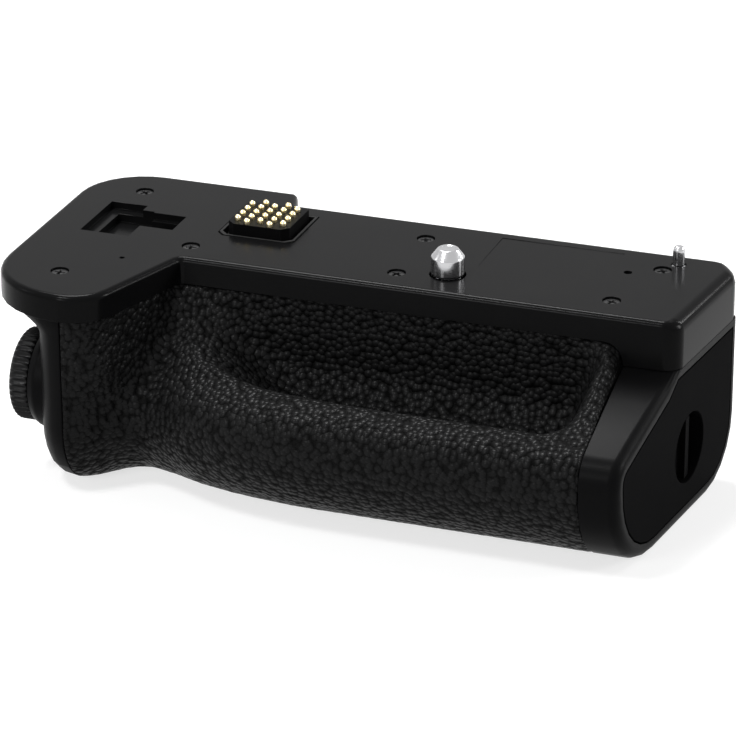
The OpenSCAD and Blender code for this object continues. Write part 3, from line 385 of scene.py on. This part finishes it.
# Front wall seen from above: flat column, round corner, slanted flank, tight valley, flat front
def wallY(x):
    onCorner = columnY - np.sqrt(np.maximum(0, columnR ** 2 - (x - columnX) ** 2))
    onFlank = sideY + (x - sideX) * math.tan(bulgeTurn)
    inValley = frontWall - valleyR + np.sqrt(np.maximum(0, valleyR ** 2 - (valleyX + valleyReach - x) ** 2))
    valleyLeft, valleyRight = valleyX - valleyReach * math.cos(bulgeTurn), valleyX + valleyReach
    return np.select([x < columnX, x < sideX, x < valleyLeft, x < valleyRight],
                     [columnFront, onCorner, onFlank, inValley], frontWall)


# Height of the plate's skirt: level, then down a quarter of an ellipse to the end frame
def skirtAt(x):
    t = np.clip((x - body["seamX"] + body["skirtRun"]) / body["skirtRun"], 0, 1)
    return body["skirtH"] + (body["skirtEndH"] - body["skirtH"]) * (1 - np.sqrt(1 - t * t))


# Key points of the cross-section at each x: skirt, trough wall, trough floor, rim, nose, keel, back; k is 1
# in the open trough, where the wall drops straight to the floor, and 0 where it slopes to the rim
def sectionKeys(x):
    k = smoothStep((x - valleyX - trough["start"]) / trough["run"])
    k = k * smoothStep((trough["right"] - x) / trough["rightRun"])
    wall = wallY(x)
    blurred = sum(wallY(x + d) for d in slope["blur"]) / len(slope["blur"])
    columnKey = [(columnX - 2, columnFront)]
    nose = keyCurve(x, columnKey + [(valleyX + d, share * body["waist"] - body["nose"])
                                    for d, share in valleyKeys["waist"]])
    noseZ = -keyCurve(x, [(valleyX + d, body["noseTop"] + drop) for d, drop in valleyKeys["drop"]])
    rim = keyCurve(x, columnKey + [(valleyX + d, -body["rim"] - out) for d, out in valleyKeys["rim"]])
    rimH, floorH, top = body["rimH"], trough["floorH"], skirtAt(x) + body["seam"]
    slopeH = body["skirtH"] + slope["drop"]
    high = np.where(x > 0, mix(top, rimH, slope["high"]), slopeH)
    low = np.where(x > 0, mix(top, rimH, slope["low"]), mix(slopeH, rimH, slope["low"]))
    base = -body["baseH"] + 0 * x
    keys = [(wall, -top),
            (mix(mix(blurred, rim, slope["high"]), wall - trough["wallIn"], k),
             -mix(high, floorH - trough["floorTilt"], k)),
            (mix(mix(blurred, rim, slope["low"]), rim + trough["floorRun"], k),
             -mix(low, floorH + trough["floorTilt"], k)),
            (rim, -rimH + 0 * x), (nose, noseZ), (nose, base), (body["backY"] + 0 * x, base)]
    return [np.stack(p, axis=-1) for p in keys]


# Arc between two sides as a rational quadratic curve, its reach kept to a share of the sides
def cornerArc(a, b, c, r, s, share):
    la, lc = np.linalg.norm(a - b, axis=-1), np.linalg.norm(c - b, axis=-1)
    u, v = (a - b) / la[:, None], (c - b) / lc[:, None]
    half = np.arccos(np.clip((u * v).sum(-1), -1, 1)) / 2
    wanted = r / np.tan(np.minimum(half, math.radians(89.9)))    # 89.9 keeps the tangent finite
    reach = np.maximum(0.2, np.minimum(wanted, share * np.minimum(la, lc)))
    p, q = b + u * reach[:, None], b + v * reach[:, None]
    f, g, h = (1 - s) ** 2, 2 * s * (1 - s) * np.sin(half)[:, None], s * s + 0 * half[:, None]
    total = (f + g + h)[..., None]
    return (f[..., None] * p[:, None] + g[..., None] * b[:, None] + h[..., None] * q[:, None]) / total


# Sections from the skirt to the keel: a straight run to each bend, then the bend's arc
def skinGrid(x):
    keys = sectionKeys(x)
    keel = mix(body["keelLeftR"], body["keelR"], smoothStep((x - columnX) / body["keelRun"]))
    strips, last = [], keys[0][:, None]
    for i, r in enumerate(bends["radius"]):
        isKeel = r is None
        s = np.linspace(0, bends["keelEnd"] if isKeel else 1, bends["arc"][i])[None, :]
        arc = cornerArc(keys[i], keys[i + 1], keys[i + 2], keel if isKeel else r, s, bends["share"][i])
        t = np.linspace(0, 1, bends["straight"][i], endpoint=False)[None, :, None]
        strips += [last * (1 - t) + arc[:, :1] * t, arc if isKeel else arc[:, :-1]]
        last = arc[:, -1:]
    yz = np.concatenate(strips, axis=1)
    return np.concatenate([np.broadcast_to(x[:, None, None], yz.shape[:2] + (1,)), yz], axis=-1)


# Pebbles: in space, the gap between the nearest and second nearest of jittered points, so that round cells of
# mixed height rise between grooves; the points repeat every 48 cells
def pebbleField(points, cell, groove, seed, period=48):
    rng = np.random.default_rng(seed)
    jitter, rise = rng.random((period, period, period, 3)), rng.random((period, period, period))
    at = points / np.asarray(cell)
    base = np.floor(at).astype(int)
    first, second = np.full(at.shape[:-1], 9.0), np.full(at.shape[:-1], 9.0)    # 9 is farther than any point
    lift = np.zeros(at.shape[:-1])
    for step in np.ndindex(3, 3, 3):
        key = base + np.array(step) - 1
        i, j, k = np.moveaxis(key % period, -1, 0)
        d = np.linalg.norm(key + jitter[i, j, k] - at, axis=-1)
        near = d < first
        second = np.minimum(second, np.where(near, first, d))
        lift = np.where(near, rise[i, j, k], lift)
        first = np.minimum(first, d)
    return np.sqrt(smoothStep((second - first) / groove)) * (0.7 + 0.3 * lift)


# Cross product of the grid's two directions, which points into the grip
def inwardNormal(grid):
    n = np.cross(np.gradient(grid, axis=0), np.gradient(grid, axis=1))
    return n / np.linalg.norm(n, axis=-1, keepdims=True)


# Points round a grid's border: first row, last column, then back along the last row and first column
def borderLoop(index):
    return np.concatenate([index[0], index[1:, -1], index[-1, -2::-1], index[-2::-1, 0]])


leather = {"thick": 1.0, "edge": 0.35, "pebble": (1.5, 1.25, 1.25), "groove": 0.6, "depth": 0.08, "seed": 5,
           "shift": 200, "rollSteps": 3, "fadeSteps": 4, "backStep": 6,
           "spans": [(leatherLeft, columnX, 4), (columnX, sideX, 36), (sideX, valleyX - 2, 76),
                     (valleyX - 2, valleyX + 3, 24), (valleyX + 3, valleyX + 20, 50), (valleyX + 20, 26, 136),
                     (26, leatherRight, 38)]}


# The skin sunk along its normal by the pebbles, rolled in at its border, with a coarse back one thickness in
# and one face for each coarse step round the rim
def makeLeather():
    spans = [np.linspace(a, b, n, endpoint=False) for a, b, n in leather["spans"]]
    x = np.concatenate([*spans, [leatherRight]])
    grid = skinGrid(x)
    rows, cols = grid.shape[:2]
    inward = inwardNormal(grid)
    grain = pebbleField(grid + leather["shift"], leather["pebble"], leather["groove"], leather["seed"])
    i, j = (np.minimum(np.arange(n), np.arange(n)[::-1]) for n in (rows, cols))
    border = np.minimum(i[:, None], j[None, :])    # steps to the nearest border
    roll = np.clip(1 - border / leather["rollSteps"], 0, 1) ** 2
    fade = np.clip(border / leather["fadeSteps"], 0, 1)
    sink = leather["depth"] * (1 - grain) * fade + leather["edge"] * roll
    outer = grid + inward * sink[..., None]
    inner = grid + inward * leather["thick"]
    pick = np.ix_(*[np.unique(np.append(np.arange(0, n, leather["backStep"]), n - 1)) for n in (rows, cols)])
    back = inner[pick]
    outerIndex = np.arange(rows * cols).reshape(rows, cols)
    backIndex = rows * cols + np.arange(back.shape[0] * back.shape[1]).reshape(back.shape[:2])
    fine, coarse = borderLoop(outerIndex), borderLoop(backIndex)
    stops = np.flatnonzero(np.isin(fine, outerIndex[pick]))
    rim = [[*fine[a:b + 1][::-1], *coarse[k:k + 2]] for k, (a, b) in enumerate(zip(stops, stops[1:]))]
    points = np.concatenate([outer.reshape(-1, 3), back.reshape(-1, 3)])
    backFaces = gridFaces(*back.shape[:2])[:, ::-1] + rows * cols
    addPiece("leatherSkin", points, [*gridFaces(rows, cols), *backFaces, *rim], "front_leather",
             "pebbledLeather", 60, False)
    print("leather skin:", rows, "x", cols)


makeLeather()


# Shells that keep the CAD form: finish and width of the rounded edge

shells = {"top_case": ("plateSatin", 0.1), "shutter_housing": ("bodyMatt", 0.1),
          "end_frame": ("endSatin", 0.1), "tray_cap": ("capMatt", 0.15), "bottom_case": ("bodyMatt", 0.1),
          "rear_cover": ("bodyMatt", 0.1), "connector_block": ("bodyMatt", 0.15),
          "latch_knob": ("capMatt", 0.1), "thumbwheel": ("dialBlack", 0.1)}
for node, (finish, bevel) in shells.items():
    softCopy(node, finish, bevel)
print("shells:", len(shells))


# Dials and buttons

dialPlace = jointPlace["dial_spin"]
dial = {"foot": 2.1, "top": 6.0, "r": 8.8, "bore": 4.55, "ridges": 44, "depth": 0.4}


# Ring with a rounded, knurled wall, a raised lip on its face and a plain bore
def makeDial():
    a, b, r, bore = dial["foot"], dial["top"], dial["r"], dial["bore"]
    profile = [(bore, a), (r - 0.8, a), (r - 0.25, a + 0.1), (r, a + 0.4), (r, a + 1.2), (r, a + 2.2),
               (r, b - 0.9), (r - 0.2, b - 0.5), (r - 0.7, b - 0.15), (r - 1.1, b), (r - 1.5, b - 0.1),
               (bore + 0.4, b - 0.1), (bore + 0.15, b - 0.2), (bore, b - 0.4)]
    weight = [0, 0, 0.5, 1, 1, 1, 1, 0.9, 0.3, 0, 0, 0, 0, 0]
    shape = knurled(profile, weight, dial["ridges"], dial["depth"], dialPlace, towardLeft)
    addPiece("controlDial", *shape, "control_dial", "dialBlack", 50)


collar = {"r": 9.7, "sink": 2.2, "top": 1.9, "hub": 4.5, "hubTop": 6.2, "bore": 3.7}


# Cone under the dial with a hub that the dial turns on
def makeCollar():
    r, sink, top, hub, bore = (collar[k] for k in ("r", "sink", "top", "hub", "bore"))
    corners = [(bore, -sink), (r, -sink), (r, 0.3, 0.2), (r - 0.15, 0.75, 0.2), (r - 0.8, top, 0.3),
               (hub + 0.5, top, 0.2), (hub, top + 0.1, 0.1), (hub, collar["hubTop"], 0.2),
               (bore, collar["hubTop"], 0.2), (bore, -sink)]
    shape = revolve(roundedProfile(corners), 96, dialPlace, towardLeft)
    addPiece("dialCollar", *shape, "dial_collar", "endSatin")


shutter = {"r": 3.5, "foot": 4.0, "top": 7.6, "dish": 0.35, "bowlR": 2.9, "stem": 1.2, "stemEnd": -2.8}


# Dished cap on a thin stem
def makeShutter():
    r, foot, top, stem, end = (shutter[k] for k in ("r", "foot", "top", "stem", "stemEnd"))
    bowl = dished(top, shutter["dish"], shutter["bowlR"], shutter["bowlR"] - 0.1, 8)
    corners = [(shutter["bowlR"] + 0.05, top - 0.01), (r, top, 0.3), (r, foot, 0.15), (stem, foot, 0.1),
               (stem, end, 0.2), (0, end)]
    shape = revolve(bowl + roundedProfile(corners), 64, dialPlace, towardLeft)
    addPiece("shutterButton", *shape, "shutter_button", "endSatin")


rearDial = {"r": 6.5, "h": 4.0, "ridges": 36, "depth": 0.4, "bore": 1.25}


# Flat knurled wheel, half its height under the joint's place
def makeRearDial():
    r, h, bore = rearDial["r"], rearDial["h"], rearDial["bore"]
    profile = [(bore, 0), (r - 0.7, 0), (r - 0.2, 0.15), (r, 0.6), (r, h - 0.6), (r - 0.2, h - 0.15),
               (r - 0.7, h), (bore, h)]
    weight = [0, 0, 0.6, 1, 1, 0.6, 0, 0]
    place = jointPlace["rear_dial_spin"] - (0, 0, h / 2)
    shape = knurled(profile, weight, rearDial["ridges"], rearDial["depth"], place)
    addPiece("rearDial", *shape, "rear_dial", "dialBlack", 50)


rearButton = {"r": 3.0, "top": 1.4, "dish": 0.2, "bowlR": 2.3, "flangeR": 3.8, "flangeTop": -2.1,
              "foot": -3.2, "stem": 1.0, "stemEnd": -4.1, "wallY": 27.4, "z": -20.0,
              "places": {"focus_button": -59.2, "lock_button": -48.0}}


# Dished cap with a flange that holds it behind the cover, and a short stem
def makeButtons():
    b = rearButton
    r, top, flange, step, foot, stem = (b[k] for k in ("r", "top", "flangeR", "flangeTop", "foot", "stem"))
    corners = [(b["bowlR"] + 0.1, top), (r, top - 0.1, 0.35), (r, step), (flange, step, 0.1),
               (flange, foot, 0.1), (stem, foot), (stem, b["stemEnd"]), (0, b["stemEnd"])]
    path = dished(top, b["dish"], b["bowlR"], b["bowlR"], 6) + roundedProfile(corners)
    for node, x in b["places"].items():
        shape = revolve(path, 56, (x, b["wallY"], b["z"]), towardBack)
        addPiece(node.replace("_b", "B"), *shape, node, "endSatin")


makeDial()
makeCollar()
makeShutter()
makeRearDial()
makeButtons()
print("dials and buttons made")


# Pins and screws

stud = {"r": 3.175, "top": 5.2, "shoulder": 3.6, "tip": 1.895, "neck": 2.975, "flange": 5.0,
        "flangeTop": -2.5, "flangeFoot": -3.5, "core": 2.4, "end": -12.0, "dimple": 0.12}


# Plain thread cylinder with a coned tip and a shallow dimple, a neck, a flange and a core below the plate
def makeStud():
    r, top, tip, neck, flange = (stud[k] for k in ("r", "top", "tip", "neck", "flange"))
    low, step, foot = top - stud["dimple"], stud["flangeTop"], stud["flangeFoot"]
    corners = [(0, low), (tip - 0.5, low), (tip - 0.35, top, 0.1), (tip, top, 0.25),
               (r, stud["shoulder"], 0.25), (r, 0.35, 0.2), (neck, 0, 0.1), (neck, step), (flange, step, 0.2),
               (flange, foot, 0.2), (stud["core"], foot), (stud["core"], stud["end"], 0.3), (0, stud["end"])]
    shape = revolve(roundedProfile(corners), 72, jointPlace["screw_spin"])
    addPiece("tripodScrew", *shape, "tripod_screw", "polishedSteel", 35)


guide = {"place": (39.0, 19.0, 0.0), "r": 1.15, "top": 3.7, "foot": 1.4, "sink": 0.3, "neck": 0.25,
         "headR": 1.9, "headTop": -2.26, "headFoot": -3.2}


# Round-nosed pin with a neck at the plate and a head that holds it from below
def makeGuide():
    r, top, foot, sink, head = (guide[k] for k in ("r", "top", "foot", "sink", "headR"))
    neck, step, end = r - guide["neck"], guide["headTop"], guide["headFoot"]
    corners = [(0, top), (r - 0.3, top, 0.4), (r, top - 0.7, 0.4), (r, 0), (neck, 0), (neck, -sink),
               (foot, -sink, 0.1), (foot, step), (head, step, 0.1), (head, end, 0.1), (0, end)]
    shape = revolve(roundedProfile(corners), 48, guide["place"])
    addPiece("locatingPin", *shape, "locating_pin", "polishedSteel")


contact = {"r": 0.6, "foot": -2.6, "tip": 3.1, "domeH": 0.62, "place": (-40.1, 11.5), "pitch": (2.29, 2.55),
           "counts": (4, 5, 4, 5, 4)}


# Domed pins in columns of four and five, each column centred on the block
def makeContacts():
    r, foot, tip, (midX, midY), (stepX, stepY) = (contact[k] for k in ("r", "foot", "tip", "place", "pitch"))
    turns = np.linspace(0, math.pi / 2, 7)
    dome = [(r * math.sin(a), tip - contact["domeH"] * (1 - math.cos(a))) for a in turns]
    path = dome + [(r, 0.5), (r, foot + 0.1), (r - 0.1, foot), (0, foot)]
    middle = (len(contact["counts"]) - 1) / 2
    spots = [(midX + (k - middle) * stepX, midY + (q - (n - 1) / 2) * stepY, 0)
             for k, n in enumerate(contact["counts"]) for q in range(n)]
    shape = joined([revolve(path, 24, spot) for spot in spots])
    addPiece("contactPins", *shape, "contact_pins", "goldPlate")


screw = {"r": 1.6, "h": 1.0, "shank": 0.9, "shankH": 2.4, "sink": 0.3, "arm": 1.05, "slot": 0.24,
         "recess": 0.55, "slotBlur": 0.1, "armBlur": 0.25, "crown": 0.06, "drop": 0.12, "crossR": 1.25,
         "rings": (1.4, 1.52)}
plateScrews = [(-68.4, -22.6), (-69.1, 20.4), (-50.1, -2.9), (-9.2, -2.4), (-9.6, 15.5), (32.2, -1.8),
               (36.9, 15.5)]
baseScrews = [(-58.0, 0.0), (-22.0, 4.0), (-22.0, -13.0), (28.0, -13.0)]


# Screw head as a height over radius and angle, with a cross sunk where either arm covers the point
def screwShape(place, turn, crossTurn):
    angle = np.linspace(0, 2 * np.pi, 64, endpoint=False)[:, None]
    r = np.concatenate([np.linspace(0, screw["crossR"], 16), screw["rings"]])[None, :]
    x, y = r * np.cos(angle + crossTurn), r * np.sin(angle + crossTurn)
    arms = [smoothStep((screw["slot"] - np.abs(q)) / screw["slotBlur"] + 0.5)
            * smoothStep((screw["arm"] - np.abs(p)) / screw["armBlur"]) for p, q in ((x, y), (y, x))]
    z = -screw["sink"] - screw["crown"] * (r / screw["r"]) ** 2 - screw["recess"] * np.maximum(*arms)
    foot = -screw["sink"] - screw["h"]
    end = foot - screw["shankH"]
    wall = np.array([(screw["r"], -screw["sink"] - screw["drop"]), (screw["r"], foot),
                     (screw["shank"], foot), (screw["shank"], end), (0, end)])
    wallR, wallZ = (np.broadcast_to(w, (len(angle), len(wall))) for w in wall.T)
    radius = np.concatenate([np.broadcast_to(r, z.shape), wallR], axis=1)
    height = np.concatenate([z, wallZ], axis=1)
    points = np.stack([radius * np.cos(angle), radius * np.sin(angle), height], axis=-1)
    return aim(points, place, turn), gridFaces(len(angle), radius.shape[1], loopRows=True)


# Every screw's cross is turned a little further than the one before
def makeScrews():
    upper = [screwShape((x, y, 0), None, 0.7 * k) for k, (x, y) in enumerate(plateScrews)]
    lower = [screwShape((x, y, -body["baseH"]), upsideDown, 0.5 * k) for k, (x, y) in enumerate(baseScrews)]
    addPiece("plateScrews", *joined(upper), "plate_screws", "darkScrew", 35)
    addPiece("baseScrews", *joined(lower), "base_screws", "darkScrew", 35)


makeStud()
makeGuide()
makeContacts()
makeScrews()
print("pins and screws made")


# Nodes that keep their CAD mesh

kept = {"front_case": "bodyMatt", "battery_bay": "bodyMatt", "bay_contacts": "goldPlate",
        "battery_tray": "bodyMatt", "tray_seal": "rubberBlack", "latch_tongue": "pressedSteel",
        "connector_seal": "rubberBlack", "screw_gear": "machinedBrass", "screw_bearing": "machinedBrass",
        "retaining_ring": "pressedSteel", "chassis": "pressedSteel", "thumbwheel_axle": "pressedSteel",
        "tripod_bush": "polishedSteel", "shutter_switch": "endSatin", "rear_dial_axle": "pressedSteel",
        "dial_bracket": "pressedSteel", "button_switches": "endSatin", "main_board": "boardGreen",
        "flex_cable": "ribbonFilm"}
for node, finish in kept.items():
    mesh = frame["nodes"][node].data
    mesh.materials.clear()
    mesh.materials.append(finishes[finish])
print("nodes kept:", len(kept))


# Stage, light and camera

# Glow and backdrop are what the camera and shiny surfaces see; white and room are what lights the grip
stage = {"floorZ": -41.5, "size": 4.0, "white": (0.4, 0.4, 0.4), "glow": 0.7, "room": 0.3, "backdrop": 1.0}


# 1 for what the camera, a shiny or a clear surface sees, 0 for light that falls on matt ones
def seenShare(tree):
    path = tree.nodes.new("ShaderNodeLightPath")
    total = path.outputs["Is Camera Ray"]
    for name in ("Is Glossy Ray", "Is Transmission Ray"):
        node = tree.nodes.new("ShaderNodeMath")
        node.operation = "MAXIMUM"
        tree.links.new(total, node.inputs[0])
        tree.links.new(path.outputs[name], node.inputs[1])
        total = node.outputs["Value"]
    return total


def floorFinish():
    mat, tree, bsdf = shaderTree("paleFloor")
    bsdf.inputs["Base Color"].default_value = (*stage["white"], 1)
    bsdf.inputs["Roughness"].default_value = 0.9
    bsdf.inputs["Specular IOR Level"].default_value = 0.0
    bsdf.inputs["Emission Color"].default_value = (1, 1, 1, 1)
    tree.links.new(addRange(tree, seenShare(tree), 0, stage["glow"], 0, 1), bsdf.inputs["Emission Strength"])
    return mat


def addFloor():
    s, z = stage["size"] / 2, stage["floorZ"] * mm
    mesh = bpy.data.meshes.new("paleFloor")
    mesh.from_pydata([(-s, -s, z), (s, -s, z), (s, s, z), (-s, s, z)], [], [(0, 1, 2, 3)])
    mesh.materials.append(floorFinish())
    floor = bpy.data.objects.new("paleFloor", mesh)
    bpy.context.scene.collection.objects.link(floor)


def addWorld():
    world = bpy.data.worlds.new("paleRoom")
    bpy.context.scene.world = world
    world.use_nodes = True
    tree = world.node_tree
    room = tree.nodes["Background"]
    room.inputs["Color"].default_value = (1, 1, 1, 1)
    strength = addRange(tree, seenShare(tree), stage["room"], stage["backdrop"], 0, 1)
    tree.links.new(strength, room.inputs["Strength"])


lamps = {
    "topSoftbox": {"place": (-0.30, 0.40, 0.84), "target": (-0.01, 0, -0.02), "size": (0.36, 0.3),
                   "watts": 10.0},
    "frontSoftbox": {"place": (-0.31, -0.40, 0.86), "target": (-0.01, 0, -0.02), "size": (0.2, 0.2),
                     "watts": 5.0},
    "lowSoftbox": {"place": (-0.33, -0.92, 0.42), "target": (-0.01, 0, -0.02), "size": (0.26, 0.26),
                   "watts": 3.0},
    "backSoftbox": {"place": (0.55, 0.72, 0.46), "target": (0.02, 0, -0.02), "size": (0.07, 0.4),
                    "watts": 2.6},
    "rightSoftbox": {"place": (0.95, 0.35, 0.32), "target": (0, 0, -0.02), "size": (0.22, 0.3),
                     "watts": 5.0},
    "leftFill": {"place": (-0.95, -0.25, 0.45), "target": (-0.03, 0, -0.02), "size": (0.2, 0.3),
                 "watts": 0.6},
}


# Place and three axes, given as the columns side, up and back, as one matrix
def standAt(place, side, back):
    axes = np.stack([side, np.cross(back, side), back], axis=1)
    return Matrix.Translation(place) @ Matrix(axes.tolist()).to_4x4()


def addLamp(name, lamp):
    data = bpy.data.lights.new(name, "AREA")
    data.shape = "RECTANGLE"
    data.size, data.size_y = lamp["size"]
    data.energy = lamp["watts"]
    back = np.array(lamp["place"]) - np.array(lamp["target"])
    side = np.cross((0, 0, 1), back)
    obj = bpy.data.objects.new(name, data)
    obj.matrix_world = standAt(lamp["place"], side / np.linalg.norm(side), back / np.linalg.norm(back))
    bpy.context.scene.collection.objects.link(obj)


view = {"eye": (0.228866, -0.683028, 0.295659), "azimuth": 19.70, "elevation": 23.60, "lens": 205.43,
        "sensor": 36.0, "clipStart": 0.05}


def addCamera():
    az, el = math.radians(view["azimuth"]), math.radians(view["elevation"])
    side = np.array([math.cos(az), math.sin(az), 0])
    back = np.array([math.sin(az) * math.cos(el), -math.cos(az) * math.cos(el), math.sin(el)])
    data = bpy.data.cameras.new("photoCamera")
    data.sensor_width = view["sensor"]
    data.lens = view["lens"]
    data.clip_start = view["clipStart"]
    camera = bpy.data.objects.new("photoCamera", data)
    camera.matrix_world = standAt(view["eye"], side, back)
    bpy.context.scene.collection.objects.link(camera)
    bpy.context.scene.camera = camera


addFloor()
addWorld()
for name, lamp in lamps.items():
    addLamp(name, lamp)
addCamera()
bpy.context.scene.view_settings.view_transform = "Standard"
print("stage, lamps and camera set")

bpy.context.view_layer.update()
